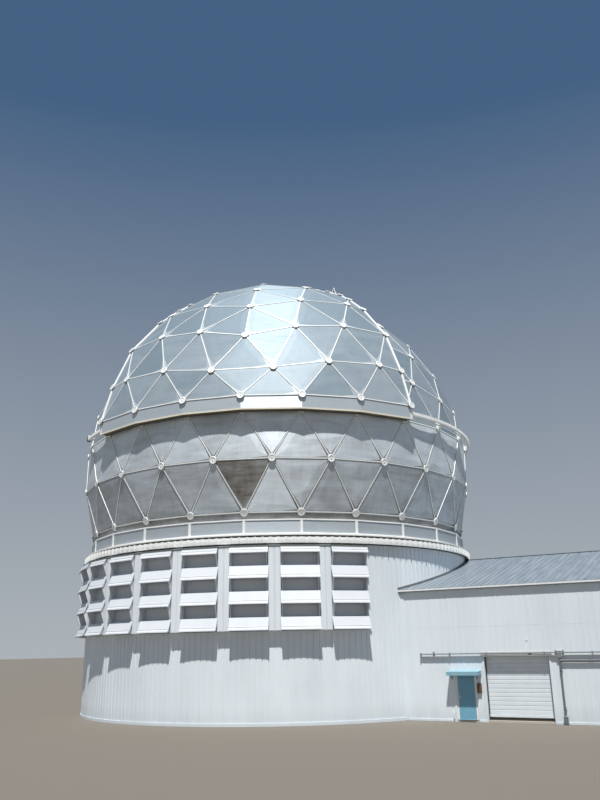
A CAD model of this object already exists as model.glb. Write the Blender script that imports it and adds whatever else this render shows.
import math
import random

import bpy
from mathutils import Matrix, Vector


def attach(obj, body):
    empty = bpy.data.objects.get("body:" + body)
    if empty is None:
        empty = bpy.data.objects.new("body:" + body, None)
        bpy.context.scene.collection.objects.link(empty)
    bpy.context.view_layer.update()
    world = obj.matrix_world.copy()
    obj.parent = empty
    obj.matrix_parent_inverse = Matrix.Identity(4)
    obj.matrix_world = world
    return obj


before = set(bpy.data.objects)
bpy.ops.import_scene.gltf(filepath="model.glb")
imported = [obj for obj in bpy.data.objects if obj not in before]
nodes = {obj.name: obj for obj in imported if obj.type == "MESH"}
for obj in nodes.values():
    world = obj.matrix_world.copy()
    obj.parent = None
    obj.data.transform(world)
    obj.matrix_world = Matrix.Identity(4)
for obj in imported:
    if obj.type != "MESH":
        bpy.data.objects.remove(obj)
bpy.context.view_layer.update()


# Concrete slabs: the round floor of the drum, and the floor of the wing with its two doorsteps.
# They are cast on the ground and trowelled.

def linear(hex_colour):
    """Turns an sRGB hex colour to the linear values that a socket holds."""
    channels = [int(hex_colour[i:i + 2], 16) / 255 for i in (0, 2, 4)]
    return [c / 12.92 if c <= 0.04045 else ((c + 0.055) / 1.055) ** 2.4 for c in channels] + [1.0]


def add(tree, kind, inputs, **settings):
    """Adds a node. Settings are its own properties, and inputs are values, sockets, or nodes, which
    give their first live output."""
    made = tree.nodes.new("ShaderNode" + kind)
    for name, value in settings.items():
        setattr(made, name, value)
    for socket, value in inputs.items():
        if isinstance(value, bpy.types.Node):
            value = next(output for output in value.outputs if output.enabled)
        if isinstance(value, bpy.types.NodeSocket):
            tree.links.new(value, made.inputs[socket])
        else:
            made.inputs[socket].default_value = value
    return made


def new_finish(name):
    """A material with an empty tree, and the object coordinates that its patterns follow."""
    material = bpy.data.materials.new(name)
    material.use_nodes = True
    tree = material.node_tree
    tree.nodes.clear()
    return material, tree, add(tree, "TexCoord", {}).outputs["Object"]


def shade(tree, inputs):
    """The surface shader and the output that end a tree."""
    add(tree, "OutputMaterial", {"Surface": add(tree, "BsdfPrincipled", inputs)})


def dress(names, material):
    for name in names:
        nodes[name].material_slots[0].material = material


# Trowelled concrete is matt, mottled over a metre or so, with fine grit
concrete, tree, place = new_finish("trowelled_concrete")
mottle = add(tree, "TexNoise", {"Vector": place, "Scale": 0.9, "Detail": 5})
grit = add(tree, "TexNoise", {"Vector": place, "Scale": 90, "Detail": 2})
tone = add(tree, "Mix", {0: mottle, 6: linear("a49e93"), 7: linear("c6c0b5")}, data_type="RGBA")
relief = add(tree, "Bump", {"Height": grit, "Strength": 0.4, "Distance": 0.002})
shade(tree, {"Base Color": tone, "Roughness": 0.85, "Normal": relief})
dress(["drum_floor", "wing_floor"], concrete)


# Drum wall: a round framed wall clad in white coated steel siding. Its sheets are pressed into flat
# pans with narrow grooves between them, and are screwed to the frame through the grooves.

def white_coating(name, clean, soiled, dents):
    """White coated steel sheet: satin, washed by rain into faint streaks, and soiled near the ground."""
    material, tree, place = new_finish(name)
    down = add(tree, "VectorMath", {0: place, 1: (1.1, 1.1, 0.12)}, operation="MULTIPLY")
    streaks = add(tree, "TexNoise", {"Vector": down, "Scale": 1.6, "Detail": 5})
    clouds = add(tree, "TexNoise", {"Vector": place, "Scale": 0.35, "Detail": 3})
    height = add(tree, "SeparateXYZ", {"Vector": place}).outputs["Z"]
    splash = add(tree, "MapRange", {"Value": height, "From Min": 0.9, "From Max": 0.0, "To Max": 0.45})
    soil = add(tree, "Math", {0: streaks, 1: clouds}, operation="MULTIPLY")
    most = add(tree, "Math", {0: soil, 1: splash}, operation="ADD")
    tone = add(tree, "Mix", {0: most, 6: linear(clean), 7: linear(soiled)}, data_type="RGBA")
    dent = add(tree, "TexNoise", {"Vector": place, "Scale": dents, "Detail": 1})
    relief = add(tree, "Bump", {"Height": dent, "Strength": 0.08, "Distance": 0.01})
    shade(tree, {"Base Color": tone, "Roughness": 0.42, "Specular IOR Level": 0.4, "Normal": relief})
    return material


def on_circle(radius, angle, height):
    """A point round the dome's axis, its angle measured from -Y towards +X in degrees."""
    turn = math.radians(angle)
    return Vector((radius * math.sin(turn), -radius * math.cos(turn), height))


def block(name, low, high):
    """A block between two corners, ready to be shaped."""
    bpy.ops.object.select_all(action="DESELECT")
    low, high = Vector(low), Vector(high)
    bpy.ops.mesh.primitive_cube_add(size=1, location=(low + high) / 2, scale=high - low)
    made = bpy.context.object
    made.name = name
    bpy.ops.object.transform_apply(location=True, rotation=True, scale=True)
    return made


def pick_faces(made, wanted):
    """Opens a piece in edit mode with only the wanted faces selected."""
    bpy.ops.object.select_all(action="DESELECT")
    made.select_set(True)
    bpy.context.view_layer.objects.active = made
    bpy.ops.object.mode_set(mode="EDIT")
    bpy.ops.mesh.select_all(action="DESELECT")
    bpy.ops.mesh.select_mode(type="FACE")
    bpy.ops.object.mode_set(mode="OBJECT")
    for face in made.data.polygons:
        face.select = wanted(face)
    bpy.ops.object.mode_set(mode="EDIT")


def outer(face):
    """The face of a blank that looks out, towards -Y."""
    return face.normal.y < -0.9


def narrow_crest(made, wanted, share):
    """Draws in the wanted face, so that the block gets sloping sides."""
    pick_faces(made, wanted)
    bpy.ops.transform.resize(value=share)
    bpy.ops.object.mode_set(mode="OBJECT")


def joined(name, parts):
    bpy.ops.object.select_all(action="DESELECT")
    for part in parts:
        part.select_set(True)
    bpy.context.view_layer.objects.active = parts[0]
    if len(parts) > 1:
        bpy.ops.object.join()
    parts[0].name = name
    parts[0].data.name = name
    return parts[0]


def laid_out(blank, places):
    """Copies a shaped blank to each place, each copy with its own mesh, and joins the copies."""
    name = blank.name
    copies = []
    for place in places:
        copy = bpy.data.objects.new(name, blank.data.copy())
        copy.data.transform(place)
        bpy.context.scene.collection.objects.link(copy)
        copies.append(copy)
    bpy.data.objects.remove(blank)
    return joined(name, copies)


def out_at(angle, radius=0, height=0, rise=1.0, width=1.0):
    """Takes a blank that faces -Y at the axis out to a radius, up to a height and round to an angle."""
    return (Matrix.Rotation(math.radians(angle), 4, "Z") @ Matrix.Translation((0, -radius, height))
            @ Matrix.Diagonal((width, 1, rise, 1)))


def settle(piece, material, body="building"):
    """Gives a piece its finish, and lets it ride on its body."""
    piece.data.materials.clear()
    piece.data.materials.append(material)
    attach(piece, body)


siding_white = white_coating("coated_steel_siding", "e6eef4", "c3ccd2", 2.5)
dress([f"drum_wall_{part}" for part in ("wing_side", "back", "rear", "side", "front")], siding_white)
dress([f"wing_wall_{part}" for part in ("left", "over_door", "over_roller", "right")], siding_white)
dress(["wing_pier", "wing_gable", "wing_back_wall", "wing_return_wall"], siding_white)

drum_radius = 11.82
drum_top = 8.56
pan_foot = 0.12
pan_width = 0.28
pan_depth = 0.018
pan_sunk = 0.025
pan_step = 1.5
bay_angle = 12
first_bay = 54
louvre_bays = range(12, 30)
louvre_foot = 4.33
louvre_head = 8.44
end_pan = 0.63
end_pan_share = 0.75
roof_slope = 0.245
eave_top = 6.30
eave_y = -5.49
ridge_y = 3.5
wing_left_edge = 6.86


def roof_top(y):
    return eave_top + roof_slope * (ridge_y - abs(y - ridge_y) - eave_y)


def drum_pans():
    """The place of each pan round the drum: short below the louvres, and above the wing's roof."""
    places = []
    for bay in range(30):
        middle = first_bay + bay_angle * (bay + 0.5)
        for end_bay, side in ((louvre_bays[0], -1), (louvre_bays[-1], 1)):
            if bay == end_bay:
                beside = middle + side * (bay_angle / 2 - end_pan)
                places.append(out_at(beside, drum_radius, louvre_foot, louvre_head - louvre_foot,
                                     end_pan_share))
        for i in range(8):
            angle = middle + pan_step * (i - 3.5)
            spot = on_circle(drum_radius, angle, 0)
            under_roof = spot.x > wing_left_edge and spot.y > eave_y + 0.2
            foot = roof_top(spot.y) + 0.05 if under_roof else pan_foot
            top = louvre_foot if bay in louvre_bays else drum_top
            if top - foot > 0.1:
                places.append(out_at(angle, drum_radius, foot, top - foot))
    return places


pan = block("drum_siding_pans", (-pan_width / 2, -pan_depth, 0), (pan_width / 2, pan_sunk, 1))
narrow_crest(pan, outer, (0.92, 1, 1))
settle(laid_out(pan, drum_pans()), siding_white)


# Trims on the drum: a base flashing round its foot, a trim line over the louvres, a closer at their
# foot and a board at each end. They are folded white sheet, screwed through the siding.

def spun_ring(name, inner, outer, bottom, top, steps=100, start=0, sweep=360):
    """A ring of rectangular section, spun about the dome's axis from a flat section."""
    bpy.ops.object.select_all(action="DESELECT")
    middle = on_circle((inner + outer) / 2, start, (bottom + top) / 2)
    bpy.ops.mesh.primitive_plane_add(size=1, location=middle,
                                     rotation=(math.pi / 2, 0, math.radians(start - 90)))
    made = bpy.context.object
    made.name = name
    made.scale = (outer - inner, top - bottom, 1)
    bpy.ops.object.transform_apply(location=True, rotation=True, scale=True)
    bpy.ops.object.mode_set(mode="EDIT")
    bpy.ops.mesh.select_all(action="SELECT")
    if sweep == 360:
        bpy.ops.mesh.delete(type="ONLY_FACE")
        bpy.ops.mesh.select_all(action="SELECT")
    # Spin turns clockwise, seen from above, for a positive angle
    bpy.ops.mesh.spin(steps=steps, angle=-math.radians(sweep), center=(0, 0, 0), axis=(0, 0, 1))
    bpy.ops.mesh.select_all(action="SELECT")
    bpy.ops.mesh.remove_doubles(threshold=0.0005)
    bpy.ops.mesh.normals_make_consistent(inside=False)
    bpy.ops.object.mode_set(mode="OBJECT")
    return made


wing_meets = 63.0
return_meets = 143.4
louvre_start = first_bay + bay_angle * louvre_bays[0] - 360
louvre_sweep = bay_angle * len(louvre_bays)
board_inset = 0.98
trim_back = drum_radius - 0.04
trim_front = drum_radius + 0.06
end_board = block("louvre_end_boards", (-0.055, -0.07, louvre_foot), (0.055, 0.02, louvre_head))
narrow_crest(end_board, outer, (0.85, 1, 0.995))
drum_trims = [
    spun_ring("drum_trims", trim_back, drum_radius + 0.055, 0, 0.14, 70, return_meets,
              360 - return_meets + wing_meets),
    spun_ring("head_trim", trim_back, trim_front, louvre_head, louvre_head + 0.055, 54, louvre_start,
              louvre_sweep),
    spun_ring("sill_trim", trim_back, trim_front, louvre_foot - 0.05, louvre_foot, 54, louvre_start,
              louvre_sweep),
    laid_out(end_board, [out_at(louvre_start + board_inset, drum_radius),
                         out_at(louvre_start + louvre_sweep - board_inset, drum_radius)]),
]
settle(joined("drum_trims", drum_trims), siding_white)


# Louvre banks: folded white hoods over deep recesses, made in the shop as one unit to a bay and lifted
# into the wall. Each hood's drip edge is rolled, each recess is closed by a framed panel, and boxed posts
# clad in the same sheet stand between the units.

hood_white = white_coating("coated_steel_hoods", "d6dbe1", "c0c6cc", 1.2)
dress(["louvre_bank_rear", "louvre_bank_side", "louvre_bank_front"], hood_white)

lips = [8.09, 6.852, 5.614, 4.376]
lip_reach = 12.40
hood_half = 0.98
hood_face = 12.165
hood_kink = 0.135
hood_shoulder = 12.325
screw_rise = 0.562
recess_half = 0.885
recess_height = 0.56
recess_back = 11.86
bay_middles = [first_bay + bay_angle * (bay + 0.5) for bay in louvre_bays]


def at_hoods(radius, rise, lips=lips):
    """Places at a radius, so far above each lip of every bay."""
    return [out_at(angle, radius, lip + rise) for angle in bay_middles for lip in lips]


def eased(made, wanted, width, segments=1):
    """Bevels the edges of the wanted faces."""
    pick_faces(made, wanted)
    bpy.ops.mesh.bevel(offset=width, segments=segments, affect="EDGES")
    bpy.ops.object.mode_set(mode="OBJECT")


# The rolled drip edge: a bead under the lip
bead = block("louvre_drip_beads", (-hood_half, -0.018, -0.022), (hood_half, 0.02, 0.012))
eased(bead, lambda face: True, 0.010, 2)
settle(laid_out(bead, at_hoods(lip_reach, 0)), hood_white)


def round_blank(name, sides, radius, depth, turn=(0, 0, 0), middle=(0, 0, 0)):
    """A cylinder, upright unless it is turned, ready to be shaped."""
    bpy.ops.object.select_all(action="DESELECT")
    bpy.ops.mesh.primitive_cylinder_add(vertices=sides, radius=radius, depth=depth, location=middle,
                                        rotation=turn)
    made = bpy.context.object
    made.name = name
    bpy.ops.object.transform_apply(location=True, rotation=True, scale=True)
    return made


# Round-headed screws along the hood's upper flange
towards_y = (math.pi / 2, 0, 0)
screw = round_blank("louvre_screws", 8, 0.014, 0.012, towards_y)
narrow_crest(screw, outer, (0.6, 1, 0.6))
hood_screws = laid_out(screw, [place @ Matrix.Translation((x, 0, 0))
                               for place in at_hoods(hood_face, screw_rise, lips[1:])
                               for x in (-0.8, -0.4, 0, 0.4, 0.8)])
settle(hood_screws, hood_white)

# A hem along the foot of each steep face, lapped over the drip edge
hem = block("louvre_hems", (-hood_half, -0.016, -0.011), (hood_half, 0.012, 0.011))
narrow_crest(hem, outer, (1, 1, 0.7))
settle(laid_out(hem, at_hoods(hood_shoulder - 0.004, hood_kink + 0.008)), hood_white)


def pressed(made, wanted, border, move, share=(1, 1, 1)):
    """Leaves a border round the wanted face, and presses its middle in or out."""
    pick_faces(made, wanted)
    bpy.ops.mesh.inset(thickness=border)
    bpy.ops.mesh.extrude_region_move(TRANSFORM_OT_translate={"value": move})
    bpy.ops.transform.resize(value=share)
    bpy.ops.object.mode_set(mode="OBJECT")


# The panel at the back of each recess, framed by its own folded border, with a stile near its right end
panel = block("louvre_panels", (-recess_half, -0.03, 0), (recess_half, 0, recess_height))
pressed(panel, outer, 0.035, (0, 0.014, 0))
stile = block("louvre_stiles", (recess_half - 0.2, -0.024, 0.03),
              (recess_half - 0.17, 0, recess_height - 0.03))
narrow_crest(stile, outer, (0.6, 1, 1))
recess_panels = laid_out(joined("louvre_panels", [panel, stile]),
                         at_hoods(recess_back, -recess_height - 0.06, lips[:3]))
settle(recess_panels, hood_white)

# The posts' cladding: two shallow pans to a post between folded corners, under a lid
post_face = 12.18
post_pan = block("louvre_post_cladding", (-0.125, -0.014, louvre_foot + 0.02),
                 (0.125, 0.01, louvre_head - 0.01))
narrow_crest(post_pan, outer, (0.9, 1, 0.998))
lid = block("louvre_post_lids", (-0.31, -0.03, louvre_head), (0.31, 0.34, louvre_head + 0.022))
narrow_crest(lid, outer, (0.98, 1, 0.5))
post_angles = [first_bay + bay_angle * bay for bay in louvre_bays[1:]]
post_places = [out_at(angle, post_face) for angle in post_angles]
post_pans = laid_out(post_pan, [place @ Matrix.Translation((x, 0, 0)) for place in post_places
                                for x in (-0.145, 0.145)])
post_cladding = joined("louvre_post_cladding", [post_pans, laid_out(lid, post_places)])
settle(post_cladding, siding_white)


def patchy(name, scale, detail, dark, pale, roughness, metallic=0.0):
    """A weathered surface in two close tones, in patches as small as the scale is large."""
    material, tree, place = new_finish(name)
    patches = add(tree, "TexNoise", {"Vector": place, "Scale": scale, "Detail": detail})
    tone = add(tree, "Mix", {0: patches, 6: linear(dark), 7: linear(pale)}, data_type="RGBA")
    shade(tree, {"Base Color": tone, "Metallic": metallic, "Roughness": roughness})
    return material


# A dull zinc flashing folded down over the head of each unit, and in short lengths over the posts
zinc = patchy("dull_zinc_flashing", 5, 5, "5c6361", "7c8380", 0.65, 0.3)
flashing_half = 0.99
flashing_reach = 12.15
post_flashing_reach = 12.12
post_flashing_share = 0.31
flashing = block("louvre_head_flashing", (-flashing_half, -0.085, louvre_head - 0.085),
                 (flashing_half, 0.02, louvre_head + 0.015))
narrow_crest(flashing, outer, (1, 1, 0.9))
head_flashing = laid_out(flashing, [out_at(angle, flashing_reach) for angle in bay_middles] + [
    out_at(angle, post_flashing_reach, width=post_flashing_share) for angle in post_angles])
settle(head_flashing, zinc)


# Drum cap and its skirt of shields: a painted ring on the wall's head, hung all round with white
# fibreglass shields that cover the gap under the turning dome. A small fin stands at each joint.

# Satin enamel, rain-stained in faint runs, with the fine peel of a sprayed coat
enamel, tree, place = new_finish("satin_white_enamel")
run = add(tree, "VectorMath", {0: place, 1: (3, 3, 0.3)}, operation="MULTIPLY")
stain = add(tree, "TexNoise", {"Vector": run, "Scale": 1.5, "Detail": 6})
tone = add(tree, "Mix", {0: stain, 6: linear("f5f6f6"), 7: linear("dbdddb")}, data_type="RGBA")
peel = add(tree, "TexNoise", {"Vector": place, "Scale": 120, "Detail": 1})
relief = add(tree, "Bump", {"Height": peel, "Strength": 0.1, "Distance": 0.001})
shade(tree, {"Base Color": tone, "Roughness": 0.4, "Normal": relief})
dress(["drum_cap"], enamel)

cap_radius = 12.06
shield_count = 192
shield_half = math.pi * cap_radius / shield_count
shield_bottom = 8.575
shield_top = 8.86


def all_round(count, radius, height=0, start=0):
    """Places at equal steps round the axis."""
    return [out_at(start + 360 / count * i, radius, height) for i in range(count)]


# One shield: a plate with a domed top edge and a crease across its middle
shield = block("drum_shields", (-shield_half, -0.012, shield_bottom), (shield_half, 0.008, shield_top))
pick_faces(shield, lambda face: True)
bpy.ops.mesh.subdivide(number_cuts=3)
bpy.ops.object.mode_set(mode="OBJECT")
for vertex in shield.data.vertices:
    share = abs(vertex.co.x) / shield_half
    rise = (vertex.co.z - shield_bottom) / (shield_top - shield_bottom)
    vertex.co.z += rise * 0.035 * share ** 4
    if vertex.co.y < 0:
        vertex.co.y -= 0.012 * (1 - abs(rise - 0.5) * 2)
settle(laid_out(shield, all_round(shield_count, cap_radius)), enamel)

fin = block("drum_shield_laps", (-0.035, -0.08, shield_bottom), (0.035, 0.008, shield_top + 0.03))
narrow_crest(fin, outer, (0.25, 1, 0.9))
fins = laid_out(fin, all_round(shield_count, cap_radius, 0, 180 / shield_count))
settle(fins, enamel)

# A black rubber seal under the cap, between the shields and the wall
rubber = patchy("black_rubber_seal", 25, 4, "2a2a29", "4c4a46", 0.8)
cap_seal = spun_ring("drum_cap_seal", cap_radius - 0.13, cap_radius - 0.03, 8.515, 8.565, 96)
settle(cap_seal, rubber)


# Dome rail: a rolled steel track held to the cap by clips along both sides. The dome's trucks run
# on it. Its mill scale is dark, patchy and half polished.

track_steel = patchy("rolled_track_steel", 14, 6, "4b4d50", "77777a", 0.5, 0.8)
dress(["dome_rail", "shutter_pin", "shutter_trucks"], track_steel)


def upper(face):
    return face.normal.z > 0.9


cap_top = 8.86
clip_count = 50
clip_radii = (11.365, 11.595)
clip = block("rail_clips", (-0.06, -0.055, 0), (0.06, 0.055, 0.028))
narrow_crest(clip, upper, (0.7, 0.7, 1))
rail_clips = laid_out(clip, [place for radius in clip_radii
                             for place in all_round(clip_count, radius, cap_top, 180 / clip_count)])
settle(rail_clips, track_steel)


# Wing walls: a steel frame clad in the same white sheet with shallow ribs, lapped once across its
# height. Folded trims close the corners, the openings and the joint with the drum.

wing_front = -5.35
wing_back = 12.35
wing_end = 22.0
wing_return = 7.0
wall_top = 6.10
rib_pitch = 0.305
rib_half = 0.022
rib_depth = 0.012
rib_top = wall_top + 0.05
under_verge = 0.2
trim_width = 0.1
door_left, door_right, door_head = 13.205, 14.235, 2.34
roller_left, roller_right, roller_head = 14.70, 17.79, 3.0


def front_foot(x):
    """Where a rib of the front wall starts: over an opening's trim, or over the base trim."""
    for left, right, head in ((door_left, door_right, door_head), (roller_left, roller_right, roller_head)):
        if left - trim_width < x < right + trim_width:
            return head + trim_width
    return pan_foot


def on_wall(angle, across, out, foot, top):
    """Stands a blank on a flat wall that faces an angle, so far across it."""
    turn = Matrix.Rotation(math.radians(angle), 4, "Z")
    return turn @ Matrix.Translation((across, -out, foot)) @ Matrix.Diagonal((1, 1, top - foot, 1))


def rib_line(start, count):
    return [start + rib_pitch * i for i in range(count)]


rib = block("wing_siding_ribs", (-rib_half, -rib_depth, 0), (rib_half, 0.01, 1))
narrow_crest(rib, outer, (0.55, 1, 1))
wing_ribs = laid_out(rib, [
    on_wall(0, x, -wing_front, front_foot(x), rib_top) for x in rib_line(10.95, 36)] + [
    on_wall(90, y, wing_end, pan_foot, roof_top(y) - under_verge)
    for y in rib_line(wing_front + 0.25, 57)] + [
    on_wall(180, -x, wing_back, pan_foot, rib_top) for x in rib_line(wing_return + 0.25, 48)] + [
    on_wall(-90, -y, -wing_return, pan_foot, roof_top(y) - under_verge) for y in rib_line(9.75, 9)])
settle(wing_ribs, siding_white)


def on_front(name, left, right, foot, top, proud, sunk=0.01):
    """A block on the wing's front wall, that stands proud of it and is sunk into it."""
    return block(name, (left, wing_front - proud, foot), (right, wing_front + sunk, top))


drum_joint_x = 10.56
joint_right = drum_joint_x + 0.17
base_top = 0.11
door_jamb_top = 2.12
roller_jamb_top = 3.08
fold = 0.12
trims = [on_front("wing_trims", left, right, 0, top, proud) for left, right, top, proud in (
    (drum_joint_x, joint_right, wall_top, 0.03),
    (drum_joint_x - 0.03, drum_joint_x + 0.012, wall_top, 0.07),
    (drum_joint_x, door_left, base_top, 0.028),
    (roller_right, wing_end, base_top, 0.028),
    (door_right, roller_left, base_top, 0.028),
    (door_left - trim_width, door_left, door_jamb_top, 0.03),
    (14.237, 14.30, door_jamb_top, 0.03),
    (roller_left - trim_width, roller_left, roller_jamb_top, 0.03),
    (roller_right, roller_right + trim_width, roller_jamb_top, 0.03))]
trims += [block("wing_trims", low, high) for low, high in (
    ((wing_end - 0.01, wing_front, 0), (wing_end + 0.028, wing_back, base_top)),
    ((wing_return, wing_back - 0.01, 0), (wing_end, wing_back + 0.028, base_top)),
    ((wing_end - fold, wing_front - 0.03, 0), (wing_end + 0.03, wing_front + fold, wall_top)),
    ((wing_end - fold, wing_back - fold, 0), (wing_end + 0.03, wing_back + 0.03, wall_top)),
    ((wing_return - 0.03, wing_back - fold, 0), (wing_return + fold, wing_back + 0.03, wall_top)))]
for trim in trims:
    eased(trim, lambda face: True, 0.006)
settle(joined("wing_trims", trims), siding_white)

# The lap where an upper row of sheets covers a lower one
lap_foot = 4.38
lap_top = 4.42
laps = [
    on_front("wing_laps", joint_right, wing_end - fold, lap_foot, lap_top, 0.004),
    block("gable_lap", (wing_end - 0.01, wing_front + fold, lap_foot),
          (wing_end + 0.008, wing_back - fold, lap_top)),
    block("back_lap", (wing_return + fold, wing_back - 0.01, lap_foot),
          (wing_end - fold, wing_back + 0.008, lap_top)),
]
settle(joined("wing_laps", laps), siding_white)


# Wing roof: coated steel sheets with standing seams from eave to ridge, a folded ridge cap, verge
# trims, a white gutter on brackets along each eave, and a dark flashing where it meets the drum.

# Zinc-aluminium coated steel has gone dull: blue-grey, with paler runs down the slope
roof_grey, tree, place = new_finish("zinc_aluminium_roofing")
down = add(tree, "VectorMath", {0: place, 1: (2.5, 0.25, 0.25)}, operation="MULTIPLY")
runs = add(tree, "TexNoise", {"Vector": down, "Scale": 1.8, "Detail": 6})
tone = add(tree, "Mix", {0: runs, 6: linear("7d8993"), 7: linear("a5b0b8")}, data_type="RGBA")
gloss = add(tree, "MapRange", {"Value": runs, "From Min": 0.3, "From Max": 0.7, "To Min": 0.38,
                               "To Max": 0.55})
shade(tree, {"Base Color": tone, "Metallic": 0.35, "Roughness": gloss})
dress(["wing_roof_front", "wing_roof_back"], roof_grey)

seam_pitch = 0.305
seam_half = 0.012
seam_height = 0.022
roof_right = 22.14
back_eave_y = wing_back + 0.14
clear_of_drum = 11.90
under_cap = 0.13
zenith = Vector((0, 0, 1))


def between(start, end, outward):
    """Lays a blank of unit length, made along X and facing +Z, from one point to another."""
    run = end - start
    along = run.normalized()
    across = outward.cross(along).normalized()
    place = Matrix((along * run.length, across, along.cross(across))).transposed().to_4x4()
    place.translation = start
    return place


def on_roof(x, y, lift=0.0):
    return Vector((x, y, roof_top(y) + lift))


def roof_line(x, y0, y1, slope=1):
    return between(on_roof(x, y0), on_roof(x, y1), Vector((0, -slope * roof_slope, 1)))


seam = block("roof_seams", (0, -seam_half, -0.01), (1, seam_half, seam_height))
narrow_crest(seam, upper, (1, 0.7, 1))
seam_places = []
for i in range(50):
    x = wing_left_edge + 0.12 + seam_pitch * i
    # How far the drum reaches in front of the axis and behind it at this seam
    drum_reach = math.sqrt(max(0, clear_of_drum ** 2 - x ** 2))
    if x > clear_of_drum:
        seam_places.append(roof_line(x, eave_y, ridge_y - under_cap))
    elif -drum_reach > eave_y + 0.2:
        seam_places.append(roof_line(x, eave_y, -drum_reach))
        if drum_reach < ridge_y - under_cap:
            seam_places.append(roof_line(x, drum_reach, ridge_y - under_cap))
    seam_places.append(roof_line(x, max(ridge_y + under_cap, drum_reach), back_eave_y, -1))
settle(laid_out(seam, seam_places), roof_grey)


def dished(made, wanted, *steps):
    """Insets the wanted faces once for each step, and lifts or sinks what lies inside."""
    pick_faces(made, wanted)
    for border, lift in steps:
        bpy.ops.mesh.inset(thickness=border)
        bpy.ops.transform.translate(value=(0, 0, lift))
    bpy.ops.object.mode_set(mode="OBJECT")


# Ridge cap and verge trims: folded strips with a bent crest
verge_x = roof_right - 0.12
ridge_start = math.sqrt(clear_of_drum ** 2 - ridge_y ** 2)
strip = block("roof_trims", (0, -0.16, 0), (1, 0.16, 0.03))
dished(strip, upper, (0.05, 0))
roof_trims = laid_out(strip, [
    between(on_roof(ridge_start, ridge_y, -0.005), on_roof(roof_right, ridge_y, -0.005), zenith)] + [
    between(on_roof(verge_x, y0, 0.02), on_roof(verge_x, y1, 0.02), zenith)
    for y0, y1 in ((eave_y, ridge_y), (ridge_y, back_eave_y))])
settle(roof_trims, roof_grey)

gutter_depth = 0.035
gutter_bottom = 6.20
gutter_top = 6.275
gutters = [
    block("wing_gutters", (10.50, eave_y - gutter_depth, gutter_bottom), (roof_right, eave_y, gutter_top)),
    block("back_gutter", (wing_left_edge, back_eave_y, gutter_bottom),
          (roof_right, back_eave_y + gutter_depth, gutter_top)),
]
for gutter in gutters:
    pressed(gutter, upper, 0.006, (0, 0, -0.05))
hanger = block("gutter_hangers", (-0.015, -gutter_depth - 0.006, gutter_bottom - 0.008),
               (0.015, 0, gutter_top + 0.008))
hanger_pitch = 0.9
gutters.append(laid_out(hanger, [
    Matrix.Translation((11.2 + hanger_pitch * i, eave_y, 0)) for i in range(12)] + [
    Matrix.Translation((7.6 + hanger_pitch * i, back_eave_y, 0)) @ Matrix.Rotation(math.pi, 4, "Z")
    for i in range(16)]))
settle(joined("wing_gutters", gutters), enamel)

# Lead-grey flashing dressed round the drum on the roof, in short straight lengths
lead = patchy("dressed_flashing", 5, 6, "54585c", "7d8083", 0.65, 0.2)
flashing_start = 62.4
flashing_step = 2
strip = block("drum_flashing", (-0.02, -0.06, -0.05), (1.02, 0.02, 0.11))
narrow_crest(strip, upper, (1, 0.35, 1))
flashing_places = []
for i in range(41):
    ends = [on_circle(drum_radius, flashing_start + flashing_step * n, 0) for n in (i, i + 1)]
    for end in ends:
        end.z = roof_top(max(end.y, eave_y))
    flashing_places.append(between(ends[0], ends[1], zenith))
settle(laid_out(strip, flashing_places), lead)


# Entrance: a white pressed-steel frame, a light blue steel leaf with a lever, a pale blue canopy on
# the wall and a small brown box beside the door.

def painted(name, fair, worn, roughness, metallic=0.0):
    """Brushed or sprayed gloss paint on steel: even, a little faded in patches, with a fine peel."""
    material, tree, place = new_finish(name)
    fade = add(tree, "TexNoise", {"Vector": place, "Scale": 2.2, "Detail": 5})
    tone = add(tree, "Mix", {0: fade, 6: linear(fair), 7: linear(worn)}, data_type="RGBA")
    peel = add(tree, "TexNoise", {"Vector": place, "Scale": 160, "Detail": 1})
    relief = add(tree, "Bump", {"Height": peel, "Strength": 0.12, "Distance": 0.001})
    shade(tree, {"Base Color": tone, "Roughness": roughness, "Metallic": metallic, "Normal": relief})
    return material


door_blue = painted("light_blue_door_paint", "6a9fb9", "7aaec6", 0.42)
canopy_blue = painted("pale_blue_canopy_paint", "7aa8ba", "92b7c4", 0.45)
box_brown = painted("brown_box_enamel", "4b3a28", "6b5434", 0.5)

# Satin stainless steel: its brushing is fine, and shows as an uneven gloss
lever_metal, tree, place = new_finish("satin_stainless")
brushing = add(tree, "TexNoise", {"Vector": place, "Scale": 400, "Detail": 2})
gloss = add(tree, "MapRange", {"Value": brushing, "To Min": 0.25, "To Max": 0.42})
shade(tree, {"Base Color": linear("c9c8c2"), "Metallic": 1.0, "Roughness": gloss})
dress(["door_frame"], enamel)
dress(["door_leaf"], door_blue)
dress(["door_canopy"], canopy_blue)
dress(["door_box"], box_brown)
dress(["door_lever"], lever_metal)

leaf_left, leaf_right = 13.306, 14.134
leaf_bottom = 0.106
kick_plate = on_front("door_kick_plate", leaf_left + 0.04, leaf_right - 0.04, leaf_bottom + 0.04,
                      leaf_bottom + 0.40, 0.003, 0.004)
eased(kick_plate, outer, 0.003)
settle(kick_plate, door_blue, "door")
drip_bar = on_front("door_drip_bar", leaf_left + 0.01, leaf_right - 0.03, leaf_bottom + 0.005,
                    leaf_bottom + 0.03, 0.035, 0.004)
narrow_crest(drip_bar, upper, (1, 0.3, 1))
settle(drip_bar, door_blue, "door")
lock = on_front("door_lock", leaf_left + 0.042, leaf_left + 0.088, 1.30, 1.346, 0.016, 0)
pressed(lock, outer, 0.012, (0, -0.006, 0))
settle(lock, lever_metal, "door")

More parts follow.
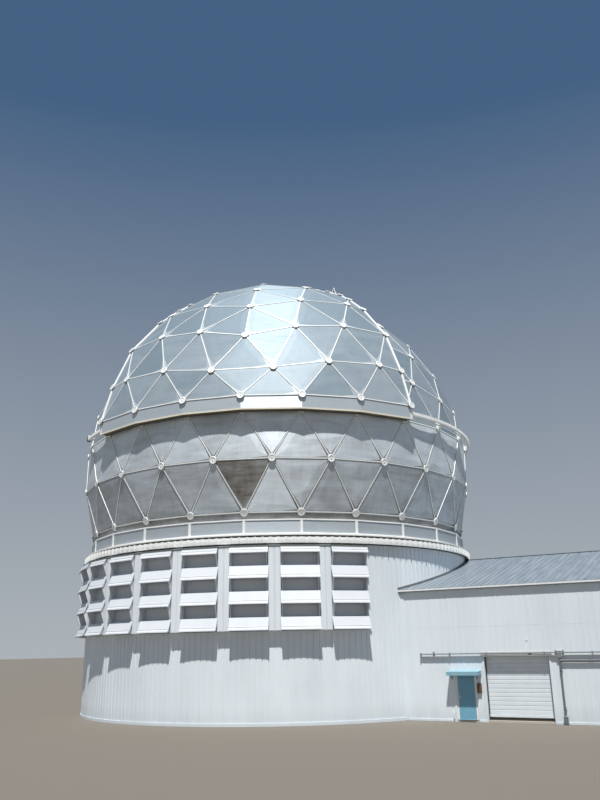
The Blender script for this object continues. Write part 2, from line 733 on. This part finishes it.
canopy_left, canopy_right = 12.99, 14.34
canopy_out = wing_front - 0.51
canopy_fold = block("canopy_trim", (canopy_left - 0.012, canopy_out - 0.012, 2.112),
                    (canopy_right + 0.012, canopy_out + 0.01, 2.266))
pressed(canopy_fold, outer, 0.035, (0, 0.008, 0))
canopy_seam = block("canopy_seams", (0, -0.009, -0.004), (1, 0.009, 0.024))
canopy_seams = laid_out(canopy_seam, [
    between(Vector((x, wing_front, 2.31)), Vector((x, canopy_out, 2.26)), zenith)
    for x in (13.005, 13.33, 13.665, 14.0, 14.325)])
settle(joined("canopy_trim", [canopy_fold, canopy_seams]), canopy_blue)

# Two brackets under the canopy: a leg on the wall, and a brace from its foot out to the canopy
bracket_x = (canopy_left + 0.05, canopy_right - 0.05)
leg = block("canopy_brackets", (-0.015, -0.035, 1.91), (0.015, 0, 2.12))
pick_faces(leg, upper)
bpy.ops.transform.translate(value=(0, 0, -0.04))
bpy.ops.mesh.extrude_region_move(TRANSFORM_OT_translate={"value": (0, 0, 0.04)})
bpy.ops.object.mode_set(mode="OBJECT")
brace = block("canopy_braces", (0, -0.011, -0.011), (1, 0.011, 0.011))
brackets = [
    laid_out(leg, [Matrix.Translation((x, wing_front, 0)) for x in bracket_x]),
    laid_out(brace, [between(Vector((x, wing_front - 0.02, 1.95)), Vector((x, wing_front - 0.36, 2.13)),
                             Vector((0, -0.5, -0.8))) for x in bracket_x]),
]
settle(joined("canopy_brackets", brackets), canopy_blue)

box_lid = on_front("door_box_lid", 14.284, 14.496, 1.304, 1.756, 0.108, -0.088)
pressed(box_lid, outer, 0.022, (0, 0.006, 0))
settle(box_lid, box_brown)


# Roller door: a curtain of curved interlocking white slats with a rubber-edged bottom bar, running in
# steel guides. It is shut.

curtain_white = painted("stove_enamelled_slats", "e3eaef", "d3dbe0", 0.45)
dress(["roller_door"], curtain_white)

curtain_y = -5.13
slat_pitch = 0.19
sill_top = 0.101
bar_foot = 0.235
bar_top = 0.37
slat = block("roller_slats", (14.66, curtain_y - 0.006, 0), (17.83, curtain_y + 0.004, slat_pitch - 0.004))
pressed(slat, outer, 0.012, (0, -0.006, 0), (1, 1, 0.9))
roller_slats = laid_out(slat, [
    Matrix.Translation((0, 0, bar_top + 0.005 + slat_pitch * i)) for i in range(14)])
settle(roller_slats, curtain_white)
bottom_bar = block("roller_bottom_bar", (roller_left, curtain_y - 0.035, bar_foot),
                   (roller_right, curtain_y + 0.002, bar_top))
pressed(bottom_bar, outer, 0.02, (0, -0.012, 0))
settle(bottom_bar, curtain_white)
bottom_seal = block("roller_seal", (roller_left, curtain_y - 0.012, sill_top),
                    (roller_right, curtain_y + 0.002, bar_foot))
narrow_crest(bottom_seal, lambda face: face.normal.z < -0.9, (1, 0.5, 1))
settle(bottom_seal, rubber)

# Guide channels in the reveal at each side of the curtain
guides = [block("roller_guides", (x - 0.02, curtain_y - 0.085, sill_top), (x + 0.02, curtain_y, 2.999))
          for x in (14.722, 17.768)]
for guide in guides:
    pressed(guide, outer, 0.008, (0, 0.03, 0))
settle(joined("roller_guides", guides), track_steel)


# Services on the wing: two conduits on clamps through a junction box, a riser with couplings, and a
# thicker pipe that leads off. They are galvanised steel that has dulled to grey.

conduit_grey = painted("weathered_galvanised_conduit", "8d9296", "767b80", 0.5)
dress(["wall_pipes"], conduit_grey)
riser_grey = painted("bare_galvanised_riser", "767b80", "5f6468", 0.5)
dress(["riser_pipe"], riser_grey)

junction_x = 18.30
service_lids = [
    on_front("service_lids", junction_x - 0.118, junction_x + 0.118, 2.947, 3.253, 0.122, -0.10),
    on_front("foot_lid", junction_x - 0.108, junction_x + 0.108, 0.042, 0.368, 0.142, -0.12),
]
for lid in service_lids:
    pressed(lid, outer, 0.02, (0, -0.008, 0))
settle(joined("service_lids", service_lids), enamel)

sleeve = round_blank("pipe_sleeves", 12, 0.040, 0.07, (0, math.pi / 2, 0))
dished(sleeve, lambda face: abs(face.normal.x) > 0.9, (0.008, 0))
sleeves = laid_out(sleeve, [Matrix.Translation((x, wing_front - 0.065, z))
                            for x in (12.2, 18.14, 18.46, 20.8) for z in (3.045, 3.175)])
settle(sleeves, riser_grey)

# A small grey lamp over the roller door, a pale cover plate above it and a hose point left of the door
lamp = on_front("door_lamp", 16.86, 17.03, 3.11, 3.15, 0.09, 0)
narrow_crest(lamp, upper, (0.35, 1, 1))
settle(lamp, riser_grey)
plate = on_front("wall_fittings", 16.79, 16.89, 3.65, 3.75, 0.012, 0.005)
pressed(plate, outer, 0.02, (0, -0.006, 0))
hose_point = on_front("hose_point", 13.012, 13.066, 0.14, 0.44, 0.07, 0.005)
pressed(hose_point, outer, 0.012, (0, -0.03, 0))
settle(joined("wall_fittings", [plate, hose_point]), enamel)

# The folded flashing over the roller door, weathered to a cream colour
header_cream = patchy("weathered_cream_flashing", 3, 5, "c6c6bf", "a6a6a0", 0.6)
header = on_front("roller_header", 14.56, 17.93, roller_head, roller_head + 0.16, 0.035)
pick_faces(header, lambda face: face.normal.z < -0.9)
bpy.ops.mesh.extrude_region_move(TRANSFORM_OT_translate={"value": (0, -0.02, -0.012)})
bpy.ops.object.mode_set(mode="OBJECT")
settle(header, header_cream)


# Base ring and skirt of the dome: a welded and painted ring beam on trucks, and above it 25 flat
# aluminium panels between white posts, with a rail along their top and bottom.

sheet_centre = Vector((0, 0, 14.2))


def sheet_aluminium(name, dark, pale, smooth, rough, grain, metallic):
    """Mill-finish aluminium sheet: satin, clouded by weather, with faint mill lines and rain runs. Its
    rolling grain runs level, so that a highlight spreads up and down. Each sheet's own tone comes from
    its "tone" attribute."""
    material, tree, place = new_finish(name)
    own = add(tree, "Attribute", {}, attribute_name="tone").outputs["Fac"]
    flat = add(tree, "VectorMath", {0: place, 1: (0.5, 0.5, 1.6)}, operation="MULTIPLY")
    clouds = add(tree, "TexNoise", {"Vector": flat, "Scale": 0.9, "Detail": 4, "Distortion": 0.8})
    mill = add(tree, "VectorMath", {0: place, 1: (0.6, 0.6, 9.0)}, operation="MULTIPLY")
    lines = add(tree, "TexNoise", {"Vector": mill, "Scale": 1.3, "Detail": 3})
    rain = add(tree, "VectorMath", {0: place, 1: (3.5, 3.5, 0.35)}, operation="MULTIPLY")
    runs = add(tree, "TexNoise", {"Vector": rain, "Scale": 1.4, "Detail": 3})
    marks = add(tree, "Math", {0: lines, 1: runs}, operation="ADD")
    weather = add(tree, "Math", {0: clouds, 1: 1.6, 2: -0.8}, operation="MULTIPLY_ADD")
    faint = add(tree, "Math", {0: marks, 1: 0.5, 2: -0.5}, operation="MULTIPLY_ADD")
    uneven = add(tree, "Math", {0: weather, 1: faint}, operation="ADD")
    share = add(tree, "Math", {0: uneven, 1: 0.45, 2: 0.25}, operation="MULTIPLY_ADD")
    whole = add(tree, "Math", {0: share, 1: own}, operation="ADD", use_clamp=True)
    tone = add(tree, "Mix", {0: whole, 6: linear(dark), 7: linear(pale)}, data_type="RGBA")
    gloss = add(tree, "MapRange", {"Value": clouds, "From Min": 0.3, "From Max": 0.7, "To Min": smooth,
                                   "To Max": rough})
    ripple = add(tree, "TexNoise", {"Vector": place, "Scale": 1.2, "Detail": 1})
    relief = add(tree, "Bump", {"Height": ripple, "Strength": 0.3, "Distance": 0.02})
    across_grain = add(tree, "CombineXYZ", {"Z": 1.0})
    shade(tree, {"Base Color": tone, "Metallic": metallic, "Roughness": gloss, "Anisotropic": grain,
                 "Tangent": across_grain, "Normal": relief})
    return material


# The lower rows have dulled unevenly, the dome's sheets are still bright, and the skirt's are even
lower_sheet = sheet_aluminium("dull_aluminium_sheet", "68625a", "e6f1fa", 0.62, 0.72, 0.9, 0.35)
upper_sheet = sheet_aluminium("bright_aluminium_sheet", "8d9eaa", "b7c4cd", 0.58, 0.66, 0.65, 0.4)
skirt_sheet = sheet_aluminium("rolled_skirt_sheet", "a4adb5", "bec6cc", 0.6, 0.68, 0.6, 0.4)
batten_white = painted("cream_white_battens", "f8faf9", "e8ebea", 0.45, 0.15)
dress(["dome_base_ring"], enamel)
dress(["dome_skirt"] + [f"lower_panels_{i}" for i in range(1, 6)], lower_sheet)

pentagon_angle = 22.4
hub_step = 14.4
skirt_radius = 11.765
skirt_bottom = 9.10
skirt_top = 9.80
skirt_panels = spun_ring("skirt_panels", skirt_radius - 0.06, skirt_radius, skirt_bottom, skirt_top, 25,
                         pentagon_angle)
settle(skirt_panels, skirt_sheet, "dome")
post = block("skirt_frame", (-0.075, -0.028, skirt_bottom), (0.075, 0.03, skirt_top + 0.02))
narrow_crest(post, outer, (0.85, 1, 1))
skirt_frame = [
    laid_out(post, all_round(25, skirt_radius, 0, pentagon_angle)),
    spun_ring("skirt_rail_low", skirt_radius - 0.06, skirt_radius + 0.025, skirt_bottom - 0.01,
              skirt_bottom + 0.03, 25, pentagon_angle),
    spun_ring("skirt_rail_high", skirt_radius - 0.215, skirt_radius + 0.035, skirt_top - 0.035,
              skirt_top + 0.03, 25, pentagon_angle),
]
settle(joined("skirt_frame", skirt_frame), batten_white, "dome")

# The ring beam's two bolted flanges
flange_inner = 11.60
flange_outer = 11.97
web_outer = 11.84
flange_top = 9.045
bolt_count = 300
bolt_height = 9.068
bolt = round_blank("base_ring_bolts", 6, 0.014, 0.02, towards_y)
narrow_crest(bolt, outer, (0.8, 1, 0.8))
ring_bolts = laid_out(bolt, all_round(bolt_count, web_outer, bolt_height, pentagon_angle))
settle(ring_bolts, enamel, "dome")
ring_flanges = [spun_ring("base_ring_flanges", flange_inner, flange_outer, 8.99, flange_top),
                spun_ring("upper_flange", flange_inner, web_outer, flange_top, 9.092)]
settle(joined("base_ring_flanges", ring_flanges), enamel, "dome")

# A black rubber seal hangs under the base ring, over the gap between the dome and the cap
ring_seal = spun_ring("base_ring_seal", 11.62, 11.70, 8.935, flange_top)
settle(ring_seal, rubber, "dome")


# Lower panels: two rows of triangular aluminium sheets. Their edges lie on dark gaskets, pressed down
# by white battens screwed to the lattice behind, and each meeting point is closed by a round hub.

frequency = 5
shell_radius = 12.38
shutter_radius = 13.0
icosahedron_latitude = math.degrees(math.atan(0.5))


def direction(latitude, angle):
    return on_circle(math.cos(math.radians(latitude)), angle, math.sin(math.radians(latitude)))


def along_arc(a, b, share):
    whole = a.angle(b)
    return (a * math.sin((1 - share) * whole) + b * math.sin(share * whole)).normalized()


def face_hub(corners, steps):
    """The hub that lies so many steps from the sides opposite the face's three corners."""
    if frequency in steps:
        return corners[steps.index(frequency)].copy()
    planes = []
    for i in range(3):
        corner, share = corners[i], steps[i] / frequency
        planes.append(along_arc(corners[(i + 1) % 3], corner, share).cross(
            along_arc(corners[(i + 2) % 3], corner, share)))
    hub = Vector((0, 0, 0))
    for i in range(3):
        meet = planes[i].cross(planes[(i + 1) % 3])
        if meet.length > 1e-6:
            hub += meet.normalized() * math.copysign(1, meet.dot(sum(corners, Vector())))
    return hub.normalized()


def ring_hubs(number, radius):
    """Rings 0 to 5 count five hubs more each from the zenith outwards; ring 6 has 25, as ring 5."""
    hubs = [zenith] if number == 0 else []
    for face in range(5):
        upper = [direction(icosahedron_latitude, pentagon_angle + 72 * (face + i)) for i in (0, 1)]
        lower = direction(-icosahedron_latitude, pentagon_angle + 36 + 72 * face)
        for j in range(min(number, frequency)):
            if number <= frequency:
                hubs.append(face_hub([zenith] + upper, [frequency - number, number - j, j]))
            else:
                hubs.append(face_hub(upper + [lower], [frequency - 1 - j, j, 1]))
    return [hub * radius + sheet_centre for hub in hubs]


def belt_hubs(radius, height, phase):
    """A level ring of 25 hubs on the sphere, starting so many bays past the first pentagon."""
    reach = math.sqrt(radius ** 2 - (height - sheet_centre.z) ** 2)
    return [on_circle(reach, pentagon_angle + hub_step * (i + phase), height) for i in range(25)]


def staggered(above, below):
    """Triangles between two rings of 25, where each lower hub comes half a bay after its upper one."""
    triangles = []
    for i, hub in enumerate(above):
        j = (i + 1) % 25
        triangles += [(hub, below[i], above[j]), (below[i], below[j], above[j])]
    return triangles


def kept_stretch(start, end, inside):
    """The stretch of an edge that lies inside a region, found by halving, or None."""
    if not inside(start):
        end, start = start, end
    if not inside(start):
        return None
    if inside(end):
        return start, end
    low, high = 0.0, 1.0
    for _ in range(20):
        middle = (low + high) / 2
        if inside(start.lerp(end, middle)):
            low = middle
        else:
            high = middle
    return start, start.lerp(end, low)


pan_edge = 0.94
pan_fold = 0.2
tones = random.Random(7)


def sheet_pans(prefix, body, material, triangles, cuts=(), bias=lambda middle: 0.0,
               spread=0.16, rise=0.007):
    """A pan on each triangle: a sheet folded up along a line inside its edges, then flat across its middle.
    Each has its own tone. What lies beyond a plane through the axis is cut off."""
    blank = round_blank(prefix, 3, 1, 0.01)
    foot = [vertex.co.copy() for vertex in blank.data.vertices if vertex.co.z < 0]
    dished(blank, upper, (pan_fold, rise))
    blank.data.attributes.new("tone", "FLOAT", "FACE")
    blank_corners = Matrix((foot[0], foot[1], zenith)).transposed()
    turned_over = foot[0].cross(foot[1]).z < 0
    pans = []
    for a, b, c in triangles:
        outward = (b - a).cross(c - a)
        if outward.dot(a - sheet_centre) < 0:
            b, c = c, b
            outward = -outward
        middle = (a + b + c) / 3
        second = c if turned_over else b
        turn = Matrix(((a - middle) * pan_edge, (second - middle) * pan_edge, outward.normalized()))
        place = (turn.transposed() @ blank_corners.inverted()).to_4x4()
        place.translation = middle
        pan = bpy.data.objects.new(prefix, blank.data.copy())
        pan.data.transform(place)
        bpy.context.scene.collection.objects.link(pan)
        own = tones.gauss(0.0, spread) + bias(middle)
        pan.data.attributes["tone"].data.foreach_set("value", [own] * len(pan.data.polygons))
        pans.append(pan)
    bpy.data.objects.remove(blank)
    whole = joined(f"{prefix}_sheets", pans)
    for beyond in cuts:
        pick_faces(whole, lambda face: True)
        bpy.ops.mesh.bisect(plane_co=(0, 0, 0), plane_no=beyond, use_fill=True, clear_outer=True)
        bpy.ops.object.mode_set(mode="OBJECT")
    settle(whole, material, body)


hub_radius = 0.2
hub_gap = 0.1
batten_half = 0.034
batten_crest = 0.028
gasket_half = 0.046
shortest_batten = 0.35

# Rubber gaskets, bleached grey in patches
gasket_grey = patchy("weathered_gasket", 9, 4, "82888a", "a2a8a9", 0.7)


def round_hubs(prefix, body, hubs):
    """Round hubs: a dark sealing washer, and on it a disc with an eased rim, a dish and a capped bolt."""
    places = []
    for hub in hubs:
        turn = (hub - sheet_centre).to_track_quat("Z", "X").to_matrix().to_4x4()
        turn.translation = hub
        places.append(turn)
    washer = round_blank(f"{prefix}_hub_washers", 20, hub_radius + 0.022, 0.048, middle=(0, 0, 0.004))
    narrow_crest(washer, upper, (0.97, 0.97, 1))
    settle(laid_out(washer, places), gasket_grey, body)
    disc = round_blank(f"{prefix}_hubs", 20, hub_radius, 0.062, middle=(0, 0, 0.031))
    dished(disc, upper, (0.016, 0.012), (0.03, 0), (0.08, -0.022), (0.03, 0), (0.004, 0.03))
    settle(laid_out(disc, places), batten_white, body)


def lattice(prefix, body, triangles, hubs, inside):
    """Gaskets and battens along the edges of the triangles, and a round hub over each meeting point."""
    lines = {}
    for corners in triangles:
        for start, end in zip(corners, corners[1:] + corners[:1]):
            stretch = kept_stretch(start, end, inside)
            if stretch and (stretch[1] - stretch[0]).length > shortest_batten:
                key = frozenset(tuple(round(c, 3) for c in p) for p in (start, end))
                lines[key] = stretch
    places = []
    for start, end in lines.values():
        run = (end - start).normalized() * hub_gap
        places.append(between(start + run, end - run, ((start + end) / 2 - sheet_centre).normalized()))
    batten = block(f"{prefix}_battens", (0, -batten_half, -0.01), (1, batten_half, batten_crest))
    narrow_crest(batten, upper, (1, 0.7, 1))
    settle(laid_out(batten, places), batten_white, body)
    gasket = block(f"{prefix}_gaskets", (0, -gasket_half, -0.014), (1, gasket_half, 0.012))
    narrow_crest(gasket, upper, (1, 0.9, 1))
    settle(laid_out(gasket, places), gasket_grey, body)
    round_hubs(prefix, body, hubs)


shell_foot = 15.475
middle_height = 12.89
lower_height = 10.19
shell_belt = belt_hubs(shell_radius, shell_foot, 1)
middle_belt = belt_hubs(shell_radius, middle_height, 1.5)
lower_belt = belt_hubs(shell_radius, lower_height, 2)
lower_rows = staggered(shell_belt, middle_belt) + staggered(middle_belt, lower_belt)


def lower_bias(middle):
    """The upper row is the cleaner one, and one sheet of the lower row has gone dull brown."""
    if middle.z > middle_height:
        return 0.62
    return -0.06 if middle.xy.normalized().dot(on_circle(1, pentagon_angle, 0).xy) > 0.999 else 0.38


sheet_pans("lower", "dome", lower_sheet, lower_rows, bias=lower_bias, spread=0.06,
           rise=0.018)
lattice("lower", "dome", lower_rows, middle_belt + lower_belt, lambda point: point.z < shell_foot - 0.005)


# Upper shell: the same panels over the dome, with the slit left open under the shutter. The crown of
# five panels round the zenith is whole.

dress([f"upper_panels_{i}" for i in range(1, 5)] + ["dome_crown"], upper_sheet)
slit_half = 36


def spreading(n, rings):
    """Triangles between ring n and the larger ring n + 1."""
    above, below = rings[n], rings[n + 1]
    triangles = []
    for face in range(5):
        for j in range(n + 1):
            i = face * n + j
            k = i + face
            beyond = below[(k + 1) % len(below)]
            triangles.append((above[i % len(above)] if n else above[0], below[k], beyond))
            if j < n:
                triangles.append((above[i], beyond, above[(i + 1) % len(above)]))
    return triangles


def dome_rows(rings, belt, first):
    """All rows of triangles from ring number first down to a level belt of hubs."""
    triangles = staggered(rings[5], rings[6]) + staggered(rings[6], belt)
    for n in range(first, 5):
        triangles += spreading(n, rings)
    return triangles


def from_middle(point):
    """Degrees round the axis from the middle of the slit, from -180 to 180."""
    angle = math.degrees(math.atan2(point.x, -point.y))
    return (angle - pentagon_angle + 180) % 360 - 180


def beside_slit(point, margin=0.0):
    return abs(from_middle(point)) > slit_half + margin


def sideways(angle):
    """A level direction square to the plane through the axis at an angle, towards larger angles."""
    return on_circle(1, angle + 90, 0)


shell_rings = [ring_hubs(n, shell_radius) for n in range(7)]
shell_rows = dome_rows(shell_rings, shell_belt, 1)
crown = spreading(0, shell_rings)
crown_reach = max(hub.xy.length for hub in shell_rings[1]) + 0.01
for side, name in ((-1, "upper_left"), (1, "upper_right")):
    rows = [corners for corners in shell_rows if from_middle(sum(corners, Vector()) / 3) * side > 0
            and any(beside_slit(corner) for corner in corners)]
    slit_edge = sideways(pentagon_angle + side * slit_half) * -side
    sheet_pans(name, "dome", upper_sheet, rows, [slit_edge])
sheet_pans("crown", "dome", upper_sheet, crown)
shell_hubs = shell_rings[1] + [hub for n in range(2, 7) for hub in shell_rings[n] if beside_slit(hub, 1)]
lattice("upper", "dome", shell_rows + crown, shell_hubs + shell_belt,
        lambda point: abs(from_middle(point)) >= slit_half or point.xy.length < crown_reach)


# Shutter rail: a white rolled arc with a rack on its face and a thinner band below, carried on brackets
# at the belt of hubs as far round as the shutter goes. The shutter's trucks run on it.

dress(["shutter_rail"], enamel)
rail_start, rail_end = -34, 170
rack_step = 0.6
rack_radius = 12.68
tooth = block("shutter_rack", (-0.03, -0.012, 15.73), (0.03, 0.01, 15.87))
narrow_crest(tooth, outer, (0.6, 1, 0.9))
rack_teeth = int((rail_end - rail_start) / rack_step) - 1
rack = laid_out(tooth, [out_at(rail_start + rack_step * (i + 1), rack_radius) for i in range(rack_teeth)])
settle(rack, enamel, "dome")
band = spun_ring("shutter_rail_band", 12.50, 12.56, 15.56, 15.62, 60, rail_start, rail_end - rail_start)
settle(band, enamel, "dome")
arm = block("shutter_rail_arms", (-0.05, -12.60, 15.53), (0.05, -12.31, 15.66))
narrow_crest(arm, outer, (0.7, 1, 0.6))
foot_plate = block("rail_foot", (-0.13, -12.345, 15.50), (0.13, -12.30, 15.86))
pressed(foot_plate, outer, 0.02, (0, -0.01, 0))
hub_angles = [pentagon_angle + hub_step * i - turn for turn in (0, 360) for i in range(25)]
rail_arms = laid_out(joined("shutter_rail_arms", [arm, foot_plate]), [
    out_at(angle) for angle in hub_angles if rail_start < angle < rail_end])
settle(rail_arms, batten_white, "dome")

# A steel buffer bolted over each end of the rail
buffer = block("shutter_rail_buffers", (-0.09, -12.70, 15.66), (0.09, -12.50, 15.94))
dished(buffer, lambda face: abs(face.normal.y) > 0.9, (0.03, 0))
buffers = laid_out(buffer, [out_at(rail_start), out_at(rail_end)])
settle(buffers, track_steel, "dome")


# Shutter gores: the same triangular panels on a slightly larger sphere, over a skirt of flat sheets
# with a cream lip along its foot and a brown rubber flap under it.

# The skirt's sheets are the newest and look almost white in the sun
hem_sheet = sheet_aluminium("brilliant_hem_sheet", "c6d2db", "e2eaf0", 0.52, 0.62, 0.9, 0.42)
dress([f"shutter_gore_{i}" for i in (1, 2, 3)], hem_sheet)
wedge_half = 43.2
head_radius = 0.5
hem_height = 16.15
hem_belt = belt_hubs(shutter_radius, hem_height, 1)
shutter_rings = [ring_hubs(n, shutter_radius) for n in range(7)]
shutter_rows = dome_rows(shutter_rings, hem_belt, 0)
near_wedge = [corners for corners in shutter_rows
              if min(abs(from_middle(corner)) for corner in corners) < wedge_half
              or min(corner.xy.length for corner in corners) < head_radius]


def in_wedge(point, margin):
    """Whether a point lies inside the two edge planes by a margin, and outside the head."""
    reach, turn = point.xy.length, abs(from_middle(point))
    if reach < head_radius or turn > 90:
        return False
    return reach * math.sin(math.radians(wedge_half - turn)) > margin


dulled_above = 21.5
bright_below = 18


def upper_bias(middle):
    """The sheets of the lowest row have stayed bright; those near the top have dulled."""
    if middle.z > dulled_above:
        return -0.45
    return 0.15 if middle.z < bright_below else 0.0


sheet_pans("shutter", "shutter", upper_sheet, near_wedge,
           [sideways(pentagon_angle + wedge_half), -sideways(pentagon_angle - wedge_half)],
           bias=upper_bias)
shutter_hubs = [hub for ring in shutter_rings[1:] + [hem_belt] for hub in ring if in_wedge(hub, 0.3)]
lattice("shutter", "shutter", shutter_rows, shutter_hubs, lambda point: in_wedge(point, 0.02))

hem_radius = 12.853
skirt_foot = 15.385


def hem_strip(name, back, front, low, high):
    """A strip along the skirt's foot, between radii and heights measured from it."""
    return spun_ring(name, hem_radius + back, hem_radius + front, skirt_foot + low, skirt_foot + high, 6,
                     pentagon_angle - wedge_half, 2 * wedge_half)


hem_cream = painted("cream_hem_paint", "ede8d6", "d8d2bd", 0.45)
lip = hem_strip("shutter_skirt_trim", -0.045, 0.014, -0.006, 0.07)
settle(lip, hem_cream, "shutter")
seal_brown = painted("weathered_brown_seal", "5d574e", "7a7468", 0.8)
flap = [hem_strip("shutter_skirt_flap", -0.31, -0.04, -0.006, 0.01),
        hem_strip("flap_edge", -0.31, -0.29, -0.06, 0)]
settle(joined("shutter_skirt_flap", flap), seal_brown, "shutter")
joint = block("shutter_skirt_joints", (-0.02, -hem_radius - 0.008, skirt_foot),
              (0.02, -hem_radius + 0.03, 16.0))
narrow_crest(joint, outer, (0.7, 1, 1))
joints = laid_out(joint, [out_at(pentagon_angle + hub_step * i) for i in range(-2, 3)])
settle(joints, hem_sheet, "shutter")


# Shutter edges and head: white box beams that follow the facets, with a round tube along their outer
# face and a hub at each bend, and a domed cap over the pin that the wedge turns about.

dress(["shutter_edge_left", "shutter_edge_right", "shutter_head"], enamel)
tube_radius = 0.062
tube_end = 0.56
beam_proud = 0.024
beam_middle = 0.075
shortest_facet = 0.4


def edge_line(angle):
    """Where the facets cross the upright plane at an angle, from the hem up to the head."""
    outward = on_circle(1, angle, 0)
    across = sideways(angle)
    spots = []
    for corners in shutter_rows:
        for start, end in zip(corners, corners[1:] + corners[:1]):
            before, after = start.dot(across), end.dot(across)
            if before * after <= 0 and (start + end).dot(outward) > 0:
                spots.append(start.lerp(end, before / (before - after)))
    spots.sort(key=lambda spot: spot.z)
    line = [spot for spot, last in zip(spots, [spots[0] * 2] + spots)
            if (spot - last).length > shortest_facet]
    line[-1] = line[-2].lerp(line[-1], 1 - tube_end / line[-2].xy.length)
    return line


tube = round_blank("shutter_edge_tubes", 12, tube_radius, 1, (0, math.pi / 2, 0), (0.5, 0, 0))
bpy.ops.object.shade_smooth_by_angle(angle=math.radians(50))
tube_places = []
edge_hubs = []
for side in (-1, 1):
    plane_angle = pentagon_angle + side * wedge_half
    shift = sideways(plane_angle) * beam_middle * side
    line = [spot + (spot - sheet_centre).normalized() * beam_proud for spot in edge_line(plane_angle)]
    edge_hubs += [spot + shift for spot in line[:-1]]
    for start, end in zip(line, line[1:]):
        reach = (end - start).normalized() * 0.012
        tube_places.append(between(start - reach + shift, end + reach + shift,
                                   (start - sheet_centre).normalized()))
settle(laid_out(tube, tube_places), enamel, "shutter")
round_hubs("shutter_edge", "shutter", [hub + (hub - sheet_centre).normalized() * 0.02 for hub in edge_hubs])

cap = round_blank("shutter_head_cap", 32, 0.50, 0.04, middle=(0, 0, 27.20))
dished(cap, upper, (0.1, 0.02), (0.28, 0.015))
settle(cap, enamel, "shutter")

# A small lifting lug of two bent legs on the right-hand beam
lug_turn = 64.9
lug_rise = 59.5
lug_out = direction(lug_rise, lug_turn)
lug_foot = lug_out * shutter_radius + sheet_centre
lug_tip = lug_out * (shutter_radius + 0.3) + sheet_centre
lug_along = lug_out.cross(sideways(lug_turn))
lug_leg = block("shutter_lug", (0, -0.022, -0.022), (1, 0.022, 0.022))
narrow_crest(lug_leg, lambda face: face.normal.x > 0.9, (1, 0.7, 0.7))
lug = laid_out(lug_leg, [between(lug_foot + lug_along * apart, lug_tip + lug_along * 0.1, sideways(lug_turn))
                         for apart in (-0.28, 0.12)])
settle(lug, enamel, "shutter")


# Stage: a plain pale floor, a soft studio sun high in front, a sky-coloured surround, and the camera
# at the photograph's angle.

bpy.ops.object.select_all(action="DESELECT")
bpy.ops.mesh.primitive_plane_add(size=900, location=(0, 0, -0.004))
floor = bpy.context.object
floor.name = "stage_floor"
floor_pale, tree, place = new_finish("pale_floor")
shade(tree, {"Base Color": linear("736d64"), "Roughness": 0.9})
floor.data.materials.append(floor_pale)

sun_rise = 66
sun_turn = 27
sun_data = bpy.data.lights.new("studio_key", "SUN")
sun_data.energy = 5.3
sun_data.angle = math.radians(1.2)
sun_data.color = (1.0, 0.97, 0.92)
sun = bpy.data.objects.new("studio_key", sun_data)
sun.rotation_mode = "QUATERNION"
sun.rotation_quaternion = direction(sun_rise, sun_turn).to_track_quat("Z", "Y")
bpy.context.scene.collection.objects.link(sun)

world = bpy.data.worlds.new("studio_surround")
world.use_nodes = True
tree = world.node_tree
tree.nodes.clear()
around = add(tree, "TexCoord", {}).outputs["Generated"]
rise = add(tree, "SeparateXYZ", {"Vector": around}).outputs["Z"]
share = add(tree, "MapRange", {"Value": rise, "From Min": 0.0, "From Max": 0.6})
sky = add(tree, "Mix", {0: share, 6: linear("dfe7ee"), 7: linear("5c81ac")}, data_type="RGBA")
add(tree, "OutputWorld", {"Surface": add(tree, "Background", {"Color": sky, "Strength": 0.56})})
bpy.context.scene.world = world
bpy.context.scene.view_settings.view_transform = "Standard"

# The camera's place in metres, its turn, rise and roll in degrees, and its focal length in pixels
camera_place = (26.80, -44.60, 3.47)
heading = 29.27
pitch = 17.481
roll = -1.047
focal_pixels = 790.3
frame_height = 800
camera_data = bpy.data.cameras.new("camera")
camera_data.sensor_width = 36
camera_data.lens = focal_pixels * camera_data.sensor_width / frame_height
camera_data.clip_end = 2000
camera = bpy.data.objects.new("camera", camera_data)
bpy.context.scene.collection.objects.link(camera)
camera.matrix_world = Matrix.Translation(camera_place)
for angle, axis in ((heading, "Z"), (90 + pitch, "X"), (roll, "Z")):
    camera.matrix_world = camera.matrix_world @ Matrix.Rotation(math.radians(angle), 4, axis)
bpy.context.scene.camera = camera
